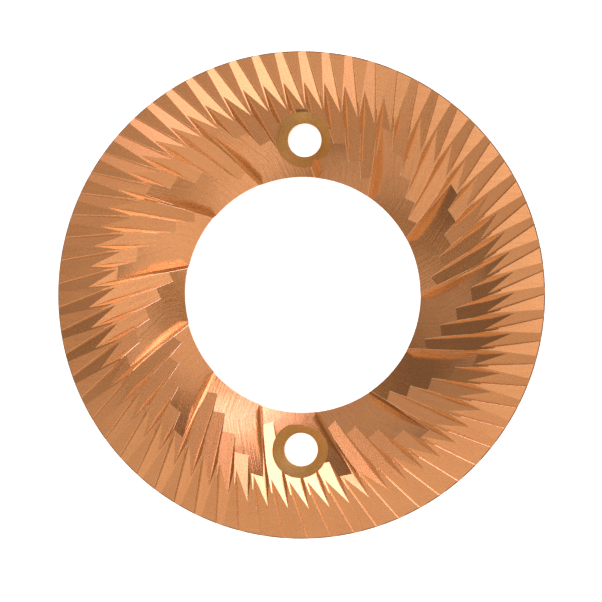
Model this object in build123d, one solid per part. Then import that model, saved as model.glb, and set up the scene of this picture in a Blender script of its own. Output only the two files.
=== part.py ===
"""Flat coffee-grinding burr: one toothed steel ring, held down by two countersunk screws.

Frame: millimetres, +Z out of the toothed face, origin at the centre of the flat back face, and
the two screw holes on the Y axis.  The part is cut from one blank, as the real one is: a turned
ring, then three sets of straight grooves ground one after another, each set indexed round the
axis, and two countersunk holes.
"""
from build123d import *
from dataclasses import dataclass
from math import atan, cos, radians, sin, tan
import os

# ---- driving dimensions -------------------------------------------------------------------
OUTER_DIAMETER = 65.0
BORE_DIAMETER = 31.6
THICKNESS = 9.0
RIM_EDGE_BREAK = 0.15        # turned edge between the rim and the toothed face
BACK_CHAMFER = 0.3           # on the rim and on the bore, at the back face

SCREW_SPACING = 41.5         # two holes in a line through the axis
SCREW_HOLE_DIAMETER = 4.5    # clearance for M4
SCREW_HEAD_DIAMETER = 7.4
SCREW_HEAD_DEPTH = 3.3       # toothed face down to the wide end of the countersink
COUNTERSINK_ANGLE = 90.0

CHANNELS = 13                # breaker channels, which open into the bore
TEETH_PER_CHANNEL = 5
TEETH = CHANNELS * TEETH_PER_CHANNEL
PATTERN_ANGLE = 11.05        # from the groove layout's own axes to the part's


@dataclass(frozen=True)
class Groove:
    """A straight V groove, placed by its crease in the layout's frame at the toothed face.

    The crease runs inwards along the heading, between a sloping floor and a steep wall.
    """
    x: float                 # a point on the crease
    y: float
    z: float
    heading: float           # degrees from +X
    fall: float              # drop of the crease per millimetre of heading
    floor_side: int          # 1: the floor is on the clockwise side, seen from the teeth; -1: not
    floor_slope: float       # rise of the floor per millimetre, square to the heading
    wall_lean: float         # degrees from vertical
    outward: float           # length of the cutter outwards from the point
    inward: float            # and inwards
    width: float             # reach of the cutter over its floor


# Grinding grooves run out through the rim and leave a flat ground land between them.
GRINDING = Groove(x=0.346, y=31.94, z=-0.266, heading=-73.2, fall=0.0364, floor_side=-1,
                  floor_slope=0.247, wall_lean=24.0, outward=3.0, inward=12.0, width=3.2)
# Feed grooves start inside the grinding ring and deepen towards the bore.
FEED = Groove(x=1.506, y=22.586, z=-1.556, heading=-75.69, fall=0.247, floor_side=1,
              floor_slope=0.374, wall_lean=28.0, outward=8.0, inward=8.0, width=1.8)
# Breaker channels: the point is on the foot of the wall near the bore, and the fall is that of
# the straight chord from there out to the channel's end.
BREAKER = Groove(x=-2.732, y=15.790, z=-4.9, heading=-54.22, fall=0.428, floor_side=1,
                 floor_slope=0.480, wall_lean=17.0, outward=14.0, inward=5.0, width=8.0)
BREAKER_WHEEL_RADIUS = 52.8  # the wheel leaves the channel's floor hollow lengthways
BREAKER_FALL_AT_BORE = 0.307

CUTTER_HEIGHT = 9.0          # every groove cutter stands well clear of the toothed face
CHANNEL_UNDERCUT = 1.5       # how far the channel cutter's blank reaches below its chord
WHEEL_WIDTH = 32.0           # the channel wheel's rim, wider than the channel
HOLE_CLEARANCE = 1.0         # how far the screw hole's cutter passes each face


def blank() -> Solid:
    """The turned ring, with its rim edge broken and its back edges chamfered."""
    rim = OUTER_DIAMETER / 2
    bore = BORE_DIAMETER / 2
    outline = Polyline(
        (bore + BACK_CHAMFER, 0, 0),
        (rim - BACK_CHAMFER, 0, 0),
        (rim, 0, BACK_CHAMFER),
        (rim, 0, THICKNESS - RIM_EDGE_BREAK),
        (rim - RIM_EDGE_BREAK, 0, THICKNESS),
        (bore, 0, THICKNESS),
        (bore, 0, BACK_CHAMFER),
        close=True,
    )
    return revolve(make_face(outline), Axis.Z, 360)


def directions(groove: Groove) -> tuple[Vector, Vector]:
    """Level unit vectors along a groove's heading and from its crease out over its floor."""
    along = Vector(cos(radians(groove.heading)), sin(radians(groove.heading)), 0)
    return along, Vector(-along.Y, along.X, 0) * groove.floor_side


def wedge(groove: Groove, undercut: float = 0.0) -> Solid:
    """The prism that lies over a groove's floor and against its wall.

    With an undercut the prism is only bounded by the wall, and goes that far below the crease.
    """
    along, across = directions(groove)
    crease = Vector(along.X, along.Y, -groove.fall)
    start = Vector(groove.x, groove.y, THICKNESS + groove.z) - crease * groove.outward
    lean = tan(radians(groove.wall_lean))
    floor_rise = 0.0 if undercut else groove.floor_slope * groove.width
    section = Polyline(
        (lean * undercut, -undercut),
        (groove.width, floor_rise - undercut),
        (groove.width, CUTTER_HEIGHT),
        (-lean * CUTTER_HEIGHT, CUTTER_HEIGHT),
        close=True,
    )
    face = Plane(origin=start, x_dir=across, z_dir=along * groove.floor_side) * make_face(section)
    length = (groove.outward + groove.inward) * crease.length
    return extrude(face, amount=length, dir=crease.normalized())


def channel_cutter() -> Solid:
    """A breaker channel's cutter: the wheel's edge makes the floor, the wedge makes the wall."""
    along, across = directions(BREAKER)
    tilt = atan(BREAKER.floor_slope)
    axis = across * cos(tilt) + Vector(0, 0, sin(tilt))
    square = across * -sin(tilt) + Vector(0, 0, cos(tilt))
    dip = atan(BREAKER_FALL_AT_BORE * cos(tilt))
    foot = Vector(BREAKER.x, BREAKER.y, THICKNESS + BREAKER.z)
    centre = foot + (along * sin(dip) + square * cos(dip)) * BREAKER_WHEEL_RADIUS
    wheel = Plane(origin=centre, z_dir=axis) * Cylinder(BREAKER_WHEEL_RADIUS, WHEEL_WIDTH)
    return wheel & wedge(BREAKER, CHANNEL_UNDERCUT)


def screw_hole() -> Solid:
    """A clearance hole with a countersink and a straight-sided seat above it."""
    hole = SCREW_HOLE_DIAMETER / 2
    head = SCREW_HEAD_DIAMETER / 2
    seat = THICKNESS - SCREW_HEAD_DEPTH
    cone_depth = (head - hole) / tan(radians(COUNTERSINK_ANGLE / 2))
    above = THICKNESS + HOLE_CLEARANCE
    outline = Polyline(
        (0, 0, -HOLE_CLEARANCE),
        (hole, 0, -HOLE_CLEARANCE),
        (hole, 0, seat - cone_depth),
        (head, 0, seat),
        (head, 0, above),
        (0, 0, above),
        close=True,
    )
    return revolve(make_face(outline), Axis.Z, 360)


def grinding_burr() -> Solid:
    """The whole burr: the blank, less every groove and both screw holes."""
    burr = blank()
    cutters = ((channel_cutter(), CHANNELS), (wedge(FEED), TEETH), (wedge(GRINDING), TEETH))
    for cutter, count in cutters:
        for index in range(count):
            burr -= Rot(0, 0, PATTERN_ANGLE + 360.0 * index / count) * cutter
    for side in (-1, 1):
        burr -= Pos(0, side * SCREW_SPACING / 2, 0) * screw_hole()
    return burr


os.makedirs("parts", exist_ok=True)
export_step(grinding_burr(), "parts/grinding_burr.step")
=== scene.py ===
"""Looks of a flat coffee-grinding burr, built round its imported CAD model.

The burr is one toothed ring of bronze-coloured coated steel.  Its mesh is a merged copy of the CAD
node, with its edges broken, and every face knows which tool cut it, so that each cut has its own
marks: milling lines along the channels, turning marks round the screw seats, a satin grain on the
ground lands.
"""
import logging
import math
from collections.abc import Callable
from dataclasses import dataclass, field
from enum import Enum

import bmesh
import bpy
from mathutils import Matrix, Vector


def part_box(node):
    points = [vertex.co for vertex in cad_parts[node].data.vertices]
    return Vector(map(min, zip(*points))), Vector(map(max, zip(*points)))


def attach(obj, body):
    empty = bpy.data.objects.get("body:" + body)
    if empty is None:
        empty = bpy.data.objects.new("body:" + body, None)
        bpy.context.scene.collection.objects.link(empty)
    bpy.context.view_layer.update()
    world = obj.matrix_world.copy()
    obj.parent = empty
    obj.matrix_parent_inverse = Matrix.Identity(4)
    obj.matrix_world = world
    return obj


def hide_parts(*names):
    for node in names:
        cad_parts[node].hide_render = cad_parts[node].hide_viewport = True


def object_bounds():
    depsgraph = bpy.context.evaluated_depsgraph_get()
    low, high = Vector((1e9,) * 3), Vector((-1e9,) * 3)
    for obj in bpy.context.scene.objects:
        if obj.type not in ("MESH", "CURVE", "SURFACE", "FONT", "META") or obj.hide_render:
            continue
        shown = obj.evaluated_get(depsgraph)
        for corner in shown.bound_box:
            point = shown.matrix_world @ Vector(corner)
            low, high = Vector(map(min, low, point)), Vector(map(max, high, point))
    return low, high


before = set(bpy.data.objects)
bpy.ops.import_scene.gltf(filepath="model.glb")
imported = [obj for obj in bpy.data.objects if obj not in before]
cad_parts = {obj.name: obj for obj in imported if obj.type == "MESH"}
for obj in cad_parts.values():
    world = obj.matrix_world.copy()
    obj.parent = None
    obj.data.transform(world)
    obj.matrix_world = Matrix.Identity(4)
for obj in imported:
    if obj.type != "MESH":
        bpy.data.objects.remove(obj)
CAD_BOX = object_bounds()

LOG = logging.getLogger("burr")
MM = 0.001
NEAR_ZERO = 1e-9
Colour = tuple[float, float, float]
WHITE: Colour = (1.0, 1.0, 1.0)


class Cut(Enum):
    """The surfaces of the burr, each named for how it was made."""

    LAND = "ground_land"
    GRINDING_FLOOR = "grinding_groove_floor"
    GRINDING_WALL = "grinding_groove_wall"
    FEED_FLOOR = "feed_groove_floor"
    FEED_WALL = "feed_groove_wall"
    CHANNEL_FLOOR = "breaker_channel_floor"
    CHANNEL_WALL = "breaker_channel_wall"
    SCREW_SEAT = "screw_seat"
    TURNED = "turned_side"
    RIM_EDGE = "rim_edge"
    BACK = "back_face"
    EDGE = "broken_edge"


ORDER = list(Cut)                       # a face's material index is its cut's place here
CURVED = (Cut.SCREW_SEAT, Cut.TURNED, Cut.RIM_EDGE, Cut.CHANNEL_FLOOR)
PLAIN_EDGED = (Cut.SCREW_SEAT, Cut.TURNED, Cut.RIM_EDGE, Cut.BACK)


# ---- finishes --------------------------------------------------------------------------------

MARKS_UV = "tool_marks"                 # the map that runs along and across each face's marks


class Nodes:
    """A short way to write a material's node tree."""

    def __init__(self, name: str) -> None:
        """Starts an empty material.

        Args:
            name: The material's name.
        """
        self.material = bpy.data.materials.new(name)
        self.material.use_nodes = True
        self.tree = self.material.node_tree
        self.tree.nodes.clear()

    def add(self, kind: str, inputs: dict[str, object] | None = None, **settings: object) -> bpy.types.Node:
        """Adds a node.

        Args:
            kind: The node's type, without the leading ShaderNode.
            inputs: Values or output sockets for its inputs, by name or number.
            settings: Its own properties.

        Returns:
            The new node.
        """
        node = self.tree.nodes.new(f"ShaderNode{kind}")
        for key, value in settings.items():
            setattr(node, key, value)
        for key, value in (inputs or {}).items():
            if isinstance(value, bpy.types.NodeSocket):
                self.tree.links.new(value, node.inputs[key])
            else:
                node.inputs[key].default_value = value
        return node


@dataclass(frozen=True)
class CoatedSteel:
    """Bronze-coloured coating over tool marks.

    Attributes:
        name: The material's name.
        colour: Where the coating is fullest.
        dark: Where it is dulled, in streaks along the marks and in broad patches.
        roughness: Of the coated steel, at its middle.
        line_length: Length of one tool mark, in millimetres.
        line_pitch: From one mark to the next, in millimetres.
        line_depth: Depth of the marks, in millimetres.
        grain_size: Size of the grain, in millimetres.
        grain_depth: Depth of the grain, in millimetres.
        broad_size: Size of the broad patches, in millimetres.
        uneven: How far the roughness goes either side of its middle.
        coat: Weight of the clear gloss over the colour.
    """

    name: str
    colour: Colour = (0.77, 0.295, 0.078)
    dark: Colour = (0.70, 0.245, 0.056)
    roughness: float = 0.25
    line_length: float = 6.0
    line_pitch: float = 0.22
    line_depth: float = 0.004
    grain_size: float = 0.30
    grain_depth: float = 0.002
    broad_size: float = 7.0
    uneven: float = 0.05
    coat: float = 1.0

    def material(self) -> bpy.types.Material:
        """Makes the finish.

        Returns:
            Its node material.
        """
        nodes = Nodes(self.name)
        marks = nodes.add("UVMap", uv_map=MARKS_UV)
        place = nodes.add("TexCoord").outputs["Object"]
        stretched = nodes.add("Mapping", {
            "Vector": marks.outputs["UV"],
            "Scale": (1 / self.line_length, 1 / self.line_pitch, 1.0),
        })
        lines = nodes.add("TexNoise", {
            "Vector": stretched.outputs["Vector"],
            "Scale": 1.0,
            "Detail": 3.0,
            "Roughness": 0.65,
        }, noise_dimensions="2D")
        grain = nodes.add("TexNoise", {
            "Vector": place,
            "Scale": 1 / (self.grain_size * MM),
            "Detail": 3.0,
            "Roughness": 0.6,
        })
        broad = nodes.add("TexNoise", {
            "Vector": place,
            "Scale": 1 / (self.broad_size * MM),
            "Detail": 2.0,
        })
        lined = nodes.add("Bump", {"Height": lines.outputs["Fac"], "Distance": self.line_depth * MM})
        bumped = nodes.add("Bump", {
            "Height": grain.outputs["Fac"],
            "Distance": self.grain_depth * MM,
            "Normal": lined.outputs["Normal"],
        })
        both = nodes.add("Math", {0: grain.outputs["Fac"], 1: lines.outputs["Fac"]}, operation="ADD")
        tint = nodes.add("Math", {0: both.outputs[0], 1: broad.outputs["Fac"]}, operation="ADD")
        share = nodes.add("MapRange", {"Value": tint.outputs[0], "From Min": 1.1, "From Max": 1.9})
        colour = nodes.add("Mix", {
            "Factor": share.outputs["Result"],
            "A": (*self.dark, 1.0),
            "B": (*self.colour, 1.0),
        }, data_type="RGBA")
        satin = nodes.add("MapRange", {
            "Value": both.outputs[0],
            "From Min": 0.7,
            "From Max": 1.3,
            "To Min": self.roughness + self.uneven,
            "To Max": self.roughness - self.uneven,
        })
        shader = nodes.add("BsdfPrincipled", {
            "Base Color": colour.outputs["Result"],
            "Metallic": 1.0,
            "Roughness": satin.outputs["Result"],
            "Normal": bumped.outputs["Normal"],
            "Coat Weight": self.coat,
            "Coat Roughness": 0.2,
            "Coat IOR": 1.65,
        })
        nodes.add("OutputMaterial", {"Surface": shader.outputs["BSDF"]})
        return nodes.material


PAINTED_WALL_SHEEN = (0.86, 0.62, 0.35)          # painted sheen: the steep walls are painted lighter and paler than the rest of the same steel, standing in for their grazing reflection
PAINTED_WALL_SHEEN_DARK = (0.77, 0.52, 0.25)

FINISHES = {
    Cut.LAND: CoatedSteel("coated_steel_land", line_pitch=0.5, line_depth=0.001, grain_depth=0.001),
    Cut.GRINDING_FLOOR: CoatedSteel("coated_steel_grinding_floor", line_depth=0.002, grain_depth=0.0012),
    # The three wall finishes below take the painted sheen colours.
    Cut.GRINDING_WALL: CoatedSteel("coated_steel_grinding_wall", colour=PAINTED_WALL_SHEEN, dark=PAINTED_WALL_SHEEN_DARK,
                                   line_depth=0.002, grain_depth=0.001),
    Cut.FEED_FLOOR: CoatedSteel("coated_steel_feed_floor", line_depth=0.004, grain_depth=0.0015),
    Cut.FEED_WALL: CoatedSteel("coated_steel_feed_wall", colour=PAINTED_WALL_SHEEN, dark=PAINTED_WALL_SHEEN_DARK,
                               line_depth=0.002, grain_depth=0.001),
    Cut.CHANNEL_FLOOR: CoatedSteel("coated_steel_channel_floor", line_length=9.0, line_pitch=0.34,
                                   line_depth=0.022, grain_depth=0.001),
    Cut.CHANNEL_WALL: CoatedSteel("coated_steel_channel_wall", colour=PAINTED_WALL_SHEEN, dark=PAINTED_WALL_SHEEN_DARK,
                                  line_depth=0.003, grain_depth=0.001),
    Cut.SCREW_SEAT: CoatedSteel("coated_steel_screw_seat", colour=(0.88, 0.57, 0.21),
                                dark=(0.64, 0.36, 0.11), roughness=0.45, line_depth=0.015),
    Cut.TURNED: CoatedSteel("coated_steel_turned_side", colour=(0.50, 0.21, 0.075),
                            dark=(0.43, 0.17, 0.057), roughness=0.30, line_pitch=0.3, line_depth=0.005),
    # Painted shade: the rim's turned edge is painted dark brown with little gloss, so that it shows as a
    # dark outline instead of mirroring the bright floor.
    Cut.RIM_EDGE: CoatedSteel("coated_steel_rim_edge_painted_shade", colour=(0.30, 0.13, 0.050), dark=(0.24, 0.10, 0.038),
                              roughness=0.35, coat=0.3),
    Cut.BACK: CoatedSteel("coated_steel_back_face", colour=(0.46, 0.20, 0.075),
                          dark=(0.42, 0.18, 0.064), line_pitch=0.25, line_depth=0.002),
    # Painted highlight: the rounded ridges are painted lighter than the lands, on top of the reflection
    # that their rounding catches.
    Cut.EDGE: CoatedSteel("coated_steel_broken_edge_painted_highlight", colour=(0.88, 0.54, 0.28), dark=(0.82, 0.46, 0.22),
                          roughness=0.30, line_depth=0.001, grain_depth=0.0005),
}


@dataclass(frozen=True)
class PaleFloor:
    """Even, pale studio floor, lit from under so that it holds no hard shadow."""

    colour: Colour = (0.9, 0.9, 0.9)
    glow: float = 0.95

    def material(self) -> bpy.types.Material:
        """Makes the floor's finish.

        Returns:
            Its node material.
        """
        nodes = Nodes("pale_floor")
        shader = nodes.add("BsdfPrincipled", {
            "Base Color": (*self.colour, 1.0),
            "Roughness": 0.9,
            "Emission Color": (*WHITE, 1.0),
            "Emission Strength": self.glow,
        })
        nodes.add("OutputMaterial", {"Surface": shader.outputs["BSDF"]})
        return nodes.material


# ---- the burr --------------------------------------------------------------------------------


@dataclass(frozen=True)
class GrooveSet:
    """Equal straight grooves indexed round the axis, each with a sloping floor and a steep wall.

    Attributes:
        count: How many grooves.
        point: A point on the first groove's crease, in millimetres and in the layout's own axes.
        heading: Which way that crease runs, in degrees from +X.
        fall: Drop of the crease per millimetre of heading.
        floor: The sloping floor's cut.
        floor_slopes: The least and greatest slope of a floor, in degrees from level.
        wall: The steep wall's cut.
        wall_slopes: The least and greatest slope of a wall.
    """

    count: int
    point: tuple[float, float]
    heading: float
    fall: float
    floor: Cut
    floor_slopes: tuple[float, float]
    wall: Cut
    wall_slopes: tuple[float, float]

    def cut_at(self, slope: float) -> Cut | None:
        """Tells which of the groove's two faces has a slope.

        Args:
            slope: Degrees from level.

        Returns:
            That face's cut, or None if neither has the slope.
        """
        for cut, (low, high) in ((self.floor, self.floor_slopes), (self.wall, self.wall_slopes)):
            if low <= slope < high:
                return cut
        return None

    def heading_of(self, centre: Vector, normal: Vector) -> Vector:
        """Finds the heading of the groove that a face belongs to.

        Args:
            centre: The face's centre, in millimetres.
            normal: The face's normal.

        Returns:
            The level unit vector along that groove's crease.
        """
        level = max(math.hypot(normal.x, normal.y), NEAR_ZERO)
        best = (math.inf, Vector((1.0, 0.0, 0.0)))
        first = Vector((math.cos(math.radians(self.heading)), math.sin(math.radians(self.heading)), 0.0))
        for index in range(self.count):
            turn = Matrix.Rotation(math.radians(PATTERN_ANGLE + 360.0 * index / self.count), 3, "Z")
            along = turn @ first
            offset = centre - turn @ Vector((*self.point, 0.0))
            aside = abs(along.x * offset.y - along.y * offset.x)
            off_plane = abs(normal.x * along.x + normal.y * along.y - normal.z * self.fall) / level
            best = min(best, (off_plane + ASIDE_WEIGHT * aside, along), key=lambda pair: pair[0])
        return best[1]


PATTERN_ANGLE = 11.05                   # from the groove layout's own axes to the burr's
ASIDE_WEIGHT = 0.01                     # a face's tilt tells its groove better than its distance does
GROOVE_SETS = (
    GrooveSet(65, (0.346, 31.94), -73.2, 0.0364, Cut.GRINDING_FLOOR, (5.0, 19.0),
              Cut.GRINDING_WALL, (64.0, 69.5)),
    GrooveSet(65, (1.506, 22.586), -75.69, 0.247, Cut.FEED_FLOOR, (19.0, 26.2),
              Cut.FEED_WALL, (50.0, 64.0)),
    GrooveSet(13, (-2.732, 15.79), -54.22, 0.428, Cut.CHANNEL_FLOOR, (26.2, 50.0),
              Cut.CHANNEL_WALL, (69.5, 85.0)),
)


# What tells one cut's faces from another's.
FACING = 0.9                            # least cosine to the axis of its screw hole, for a seat
RADIAL = 0.6                            # least cosine to the burr's radius, for a turned face
UPRIGHT = 0.05                          # the normal of an upright face rises less than this
STEEP = 0.8                             # the normal of a turned edge or a seat rises less than this
DOWNWARD = -0.1                         # the normal of a face at the back is lower than this


@dataclass
class GrindingBurr:
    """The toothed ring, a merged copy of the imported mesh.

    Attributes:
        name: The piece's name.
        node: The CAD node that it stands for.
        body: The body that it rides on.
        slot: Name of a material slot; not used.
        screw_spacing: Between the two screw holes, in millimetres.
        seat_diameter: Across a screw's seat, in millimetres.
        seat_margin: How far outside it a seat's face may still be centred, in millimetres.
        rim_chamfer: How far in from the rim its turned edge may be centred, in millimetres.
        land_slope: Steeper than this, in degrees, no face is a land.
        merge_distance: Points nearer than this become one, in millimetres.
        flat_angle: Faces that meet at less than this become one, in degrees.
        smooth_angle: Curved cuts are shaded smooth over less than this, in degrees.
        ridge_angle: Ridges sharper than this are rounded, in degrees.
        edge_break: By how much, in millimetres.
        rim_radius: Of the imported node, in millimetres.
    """

    name: str = "toothed_ring"
    node: str = "grinding_burr"
    body: str = "root"
    slot: str = "coated_steel"
    screw_spacing: float = 41.5
    seat_diameter: float = 7.4
    seat_margin: float = 0.05
    rim_chamfer: float = 0.2
    land_slope: float = 5.0
    merge_distance: float = 0.002
    flat_angle: float = 0.2
    smooth_angle: float = 25.0
    ridge_angle: float = 45.0
    edge_break: float = 0.05
    rim_radius: float = field(init=False)

    def __post_init__(self) -> None:
        """Takes the ring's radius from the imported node."""
        low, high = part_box(self.node)
        self.rim_radius = (high.x - low.x) / 2 / MM

    def build(self) -> bpy.types.Object:
        """Makes the ring and puts it in the CAD node's place.

        Returns:
            The finished object.
        """
        mesh = bpy.data.meshes.new(self.name)
        shape = bmesh.new()
        shape.from_mesh(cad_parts[self.node].data)
        bmesh.ops.remove_doubles(shape, verts=shape.verts, dist=self.merge_distance * MM)
        bmesh.ops.dissolve_limit(shape, angle_limit=math.radians(self.flat_angle), verts=shape.verts,
                                 edges=shape.edges)
        self.mark(shape)
        self.break_edges(shape)
        self.smooth(shape)
        shape.to_mesh(mesh)
        shape.free()
        ring = bpy.data.objects.new(self.name, mesh)
        bpy.context.scene.collection.objects.link(ring)
        for cut in Cut:
            mesh.materials.append(FINISHES[cut].material())
        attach(ring, self.body)
        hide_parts(self.node)
        LOG.info("%s: %d faces", self.name, len(mesh.polygons))
        return ring

    def seat_axis(self, centre: Vector) -> Vector:
        """Returns where the axis of the nearer screw hole crosses the face's level."""
        return Vector((0.0, math.copysign(self.screw_spacing / 2, centre.y), centre.z))

    def cut_of(self, face: bmesh.types.BMFace) -> Cut:
        """Tells which tool made a face, from where it lies and how it leans.

        Args:
            face: The face.

        Returns:
            Its cut.
        """
        centre = face.calc_center_median() / MM
        normal = face.normal
        if self.in_seat(centre, normal):
            return Cut.SCREW_SEAT
        if normal.z < DOWNWARD:
            return Cut.BACK if centre.z < self.merge_distance else Cut.TURNED
        radius = math.hypot(centre.x, centre.y)
        outward = (normal.x * centre.x + normal.y * centre.y) / radius
        if outward > RADIAL and UPRIGHT < normal.z < STEEP and radius > self.rim_radius - self.rim_chamfer:
            return Cut.RIM_EDGE
        if abs(outward) > RADIAL and abs(normal.z) < UPRIGHT:
            return Cut.TURNED
        slope = math.degrees(math.acos(min(1.0, normal.z)))
        for grooves in GROOVE_SETS:
            cut = grooves.cut_at(slope)
            if cut:
                return cut
        return Cut.LAND if slope < self.land_slope else Cut.CHANNEL_WALL

    def in_seat(self, centre: Vector, normal: Vector) -> bool:
        """Tells whether a face is in a screw's seat or hole, which is near its axis and faces it.

        Args:
            centre: The face's centre, in millimetres.
            normal: The face's normal.

        Returns:
            Whether it is.
        """
        inward = self.seat_axis(centre) - centre
        level = math.hypot(normal.x, normal.y)
        facing = normal.dot(inward) / max(inward.length * level, NEAR_ZERO)
        near = inward.length < self.seat_diameter / 2 + self.seat_margin
        return near and facing > FACING and abs(normal.z) < STEEP

    def mark(self, shape: bmesh.types.BMesh) -> None:
        """Gives each face its finish, and coordinates in millimetres along and across its tool marks.

        Args:
            shape: The ring's mesh.
        """
        layer = shape.loops.layers.uv.new(MARKS_UV)
        for face in shape.faces:
            cut = self.cut_of(face)
            face.material_index = ORDER.index(cut)
            place = self.marks_of(face, cut)
            for loop in face.loops:
                loop[layer].uv = place(loop.vert.co / MM)

    def marks_of(self, face: bmesh.types.BMFace, cut: Cut) -> Callable[[Vector], tuple[float, float]]:
        """Finds how the tool ran over a face.

        Args:
            face: The face.
            cut: Which tool cut it.

        Returns:
            A function from a point, in millimetres, to its distance along and across the marks.
        """
        centre = face.calc_center_median() / MM
        if cut in (Cut.SCREW_SEAT, Cut.TURNED, Cut.RIM_EDGE):
            axis = self.seat_axis(centre) if cut is Cut.SCREW_SEAT else Vector((0.0, 0.0, 0.0))
            middle = math.atan2(centre.y - axis.y, centre.x - axis.x)

            def around(point: Vector) -> tuple[float, float]:
                """Measures round the axis.

                Args:
                    point: A point on the face, in millimetres.

                Returns:
                    The distance round the axis, and the distance from its foot.
                """
                angle = math.atan2(point.y - axis.y, point.x - axis.x) - middle
                angle = middle + (angle + math.pi) % (2 * math.pi) - math.pi
                reach = math.hypot(point.x - axis.x, point.y - axis.y)
                return angle * reach, reach + point.z

            return around
        along = Vector((1.0, 0.0, 0.0))
        for grooves in GROOVE_SETS:
            if cut in (grooves.floor, grooves.wall):
                along = grooves.heading_of(centre, face.normal)
        across = face.normal.cross(along)

        def straight(point: Vector) -> tuple[float, float]:
            """Returns the distance along and across the groove."""
            return point.dot(along), point.dot(across)

        return straight

    def break_edges(self, shape: bmesh.types.BMesh) -> None:
        """Rounds the ridges between the ground faces, as brushing does.

        Args:
            shape: The ring's mesh.
        """
        ridges = [
            edge for edge in shape.edges
            if edge.is_convex and edge.calc_face_angle(0.0) > math.radians(self.ridge_angle)
            and not any(ORDER[face.material_index] in PLAIN_EDGED for face in edge.link_faces)
        ]
        made = bmesh.ops.bevel(shape, geom=ridges, offset=self.edge_break * MM, offset_type="OFFSET",
                               affect="EDGES", segments=2, profile=0.5, material=-1, clamp_overlap=False)
        for face in made["faces"]:
            face.material_index = ORDER.index(Cut.EDGE)
        LOG.info("%s: %d ridges rounded", self.name, len(ridges))

    def smooth(self, shape: bmesh.types.BMesh) -> None:
        """Shades the turned and hollow cuts smooth, and leaves every other edge crisp.

        Args:
            shape: The ring's mesh.
        """
        for face in shape.faces:
            face.smooth = True
        for edge in shape.edges:
            pair = {ORDER[face.material_index] for face in edge.link_faces}
            gentle = edge.calc_face_angle(math.pi) < math.radians(self.smooth_angle)
            edge.smooth = len(pair) == 1 and pair.pop() in CURVED and gentle


# ---- studio ----------------------------------------------------------------------------------


@dataclass(frozen=True)
class Softbox:
    """A square soft light, placed by its direction from the burr and aimed at it.

    Attributes:
        name: What it does.
        azimuth: Degrees from +X, seen from above.
        polar: Degrees from straight up.
        size: Side of the square, in metres.
        radiance: How bright its face is, where a white floor's glow is about 1.
        colour: Its tint.
        distance: Metres from the middle of the toothed face.
    """

    name: str
    azimuth: float
    polar: float
    size: float
    radiance: float
    colour: Colour = WHITE
    distance: float = 0.42

    def build(self, target: Vector) -> None:
        """Makes the light.

        Args:
            target: The point that it faces.
        """
        light = bpy.data.lights.new(self.name, "AREA")
        light.shape = "SQUARE"
        light.size = self.size
        light.energy = self.radiance * math.pi * self.size ** 2
        light.color = self.colour
        lamp = bpy.data.objects.new(self.name, light)
        azimuth = math.radians(self.azimuth)
        polar = math.radians(self.polar)
        reach = math.sin(polar)
        back = Vector((reach * math.cos(azimuth), reach * math.sin(azimuth), math.cos(polar)))
        lamp.location = target + back * self.distance
        lamp.rotation_euler = (-back).to_track_quat("-Z", "Y").to_euler()
        bpy.context.scene.collection.objects.link(lamp)


# The three brightest are a little cool, so that the facets that mirror them don't look too yellow.
SOFTBOXES = (
    Softbox("key", 50.0, 47.0, 0.16, 5.8, (0.76, 0.72, 1.0)),
    Softbox("key_spill", 46.0, 32.0, 0.20, 1.7, (0.78, 0.76, 1.0)),
    Softbox("high_right", 26.0, 16.0, 0.18, 1.5, (0.86, 0.92, 1.0)),
    Softbox("front_right", 312.0, 32.0, 0.20, 0.4),
    Softbox("right", 312.0, 54.0, 0.22, 0.92),
    Softbox("low_right", 0.0, 55.0, 0.20, 0.85),
    Softbox("high_front", 270.0, 18.0, 0.18, 0.5),
    Softbox("front", 266.0, 48.0, 0.22, 0.7),
    Softbox("floor_front", 272.0, 68.0, 0.24, 0.5),
    Softbox("low_front", 216.0, 64.0, 0.20, 0.6),
    Softbox("left", 222.0, 30.0, 0.22, 0.75),
    Softbox("low_left", 179.0, 47.0, 0.16, 0.85),
    Softbox("back_left", 166.0, 28.0, 0.17, 0.75),
    Softbox("overhead", 0.0, 0.0, 0.13, 0.5),
    Softbox("back", 92.0, 40.0, 0.22, 0.5),
    Softbox("low_back", 100.0, 66.0, 0.16, 0.45),
    Softbox("low_back_left", 148.0, 70.0, 0.18, 0.4),
)


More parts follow.
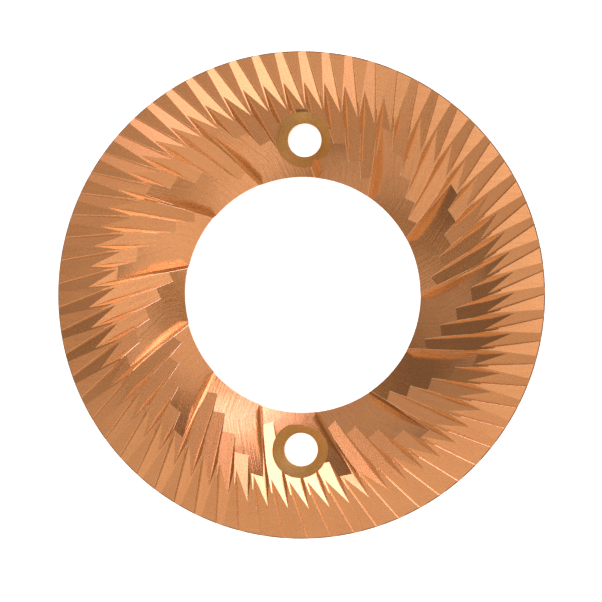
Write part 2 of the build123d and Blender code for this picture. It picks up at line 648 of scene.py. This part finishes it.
@dataclass
class Studio:
    """Floor, lights and camera.

    Attributes:
        floor_side: Side of the square floor, in metres.
        floor_gap: How far it lies under the back face, so that the two never coincide.
        room_light: How bright the room is.
        camera_distance: From the camera to the toothed face, in metres.
        field_width: How much of that level the frame spans, in metres.
        sensor: Width of the camera's sensor, in millimetres.
        lean: How far the camera leans to the right, in degrees.
        roll: How far it is turned about its own axis, in degrees.
        aim_below: How far below the burr's centre it aims, in metres.
        far_clip: How far it sees, in metres.
    """

    floor_side: float = 3.0
    floor_gap: float = 0.05 * MM
    room_light: float = 0.19
    camera_distance: float = 0.70
    field_width: float = 0.0802
    sensor: float = 36.0
    lean: float = 3.0
    roll: float = 0.67
    aim_below: float = 0.81 * MM
    far_clip: float = 10.0

    def build(self) -> None:
        """Makes everything in the studio."""
        self.build_floor()
        low, high = CAD_BOX
        middle = Vector(((low.x + high.x) / 2, (low.y + high.y) / 2, high.z))
        for softbox in SOFTBOXES:
            softbox.build(middle)
        world = bpy.data.worlds.new("room")
        world.use_nodes = True
        background = world.node_tree.nodes["Background"]
        background.inputs["Color"].default_value = (*WHITE, 1.0)
        background.inputs["Strength"].default_value = self.room_light
        bpy.context.scene.world = world
        bpy.context.scene.view_settings.view_transform = "Standard"
        self.build_camera(middle)

    def build_floor(self) -> None:
        """Lays the floor under the burr."""
        mesh = bpy.data.meshes.new("floor")
        shape = bmesh.new()
        bmesh.ops.create_grid(shape, x_segments=1, y_segments=1, size=self.floor_side / 2)
        bmesh.ops.translate(shape, verts=shape.verts, vec=(0.0, 0.0, CAD_BOX[0].z - self.floor_gap))
        shape.to_mesh(mesh)
        shape.free()
        mesh.materials.append(PaleFloor().material())
        floor = bpy.data.objects.new("floor", mesh)
        bpy.context.scene.collection.objects.link(floor)

    def build_camera(self, middle: Vector) -> None:
        """Stands the camera over the burr, leaning a little to the right and turned a little.

        Args:
            middle: The centre of the toothed face.
        """
        data = bpy.data.cameras.new("camera")
        data.sensor_width = self.sensor
        data.lens = self.sensor * self.camera_distance / self.field_width
        data.clip_end = self.far_clip
        camera = bpy.data.objects.new("camera", data)
        roll = math.radians(self.roll)
        lean = math.radians(self.lean)
        right = Vector((math.cos(roll), math.sin(roll), 0.0))
        up = Vector((-math.sin(roll), math.cos(roll), 0.0))
        back = right * math.sin(lean) + Vector((0.0, 0.0, math.cos(lean)))
        side = up.cross(back)
        camera.matrix_world = Matrix((side, up, back)).transposed().to_4x4()
        camera.location = middle - up * self.aim_below + back * self.camera_distance
        bpy.context.scene.collection.objects.link(camera)
        bpy.context.scene.camera = camera


def main() -> None:
    """Builds the burr and the studio."""
    logging.basicConfig(level=logging.INFO, format="%(name)s: %(message)s")
    GrindingBurr().build()
    Studio().build()


if __name__ == "__main__":
    main()
